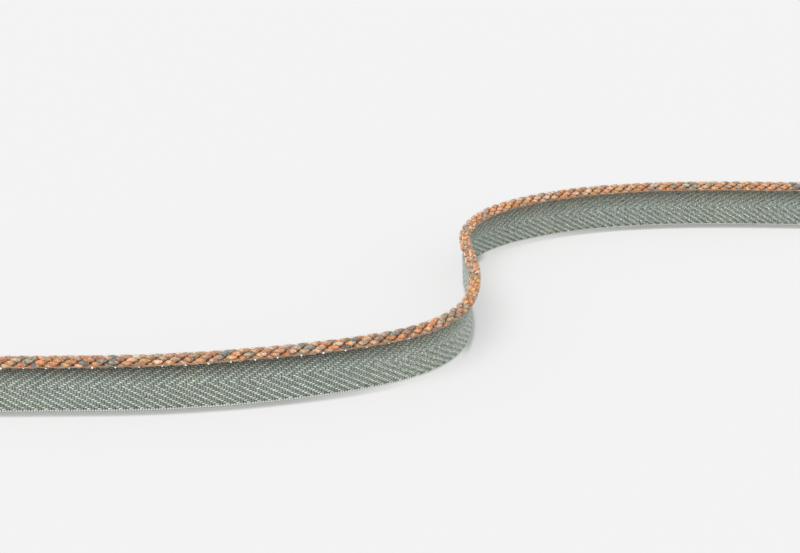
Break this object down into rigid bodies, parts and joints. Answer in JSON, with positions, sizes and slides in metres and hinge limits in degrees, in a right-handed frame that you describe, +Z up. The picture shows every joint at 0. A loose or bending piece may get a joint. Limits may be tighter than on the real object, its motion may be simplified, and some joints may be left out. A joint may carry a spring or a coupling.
{
  "type": "cut length of flanged cord trim",
  "caption": "Twisted multicolour cord sewn along the top of a grey-green herringbone tape, a cut length standing on the tape's lower edge in an S bend.",
  "frame": {"origin": "on the floor under the middle of the whole length's box", "axes": "+X along the two outer stretches of the S, +Y towards the far stretch, +Z up from the tape's lower edge to the cord"},
  "size_m": [0.3438, 0.1581, 0.0212],
  "materials": {
    "tape_weave": "matt grey-green herringbone twill",
    "cord_yarn": "soft matt yarn in orange, amber, peach, slate and olive",
    "sewing_thread": "fine pale thread"
  },
  "bodies": {
    "root": {"tape": "tape_weave", "cord": "cord_yarn"}
  },
  "joints": []
}
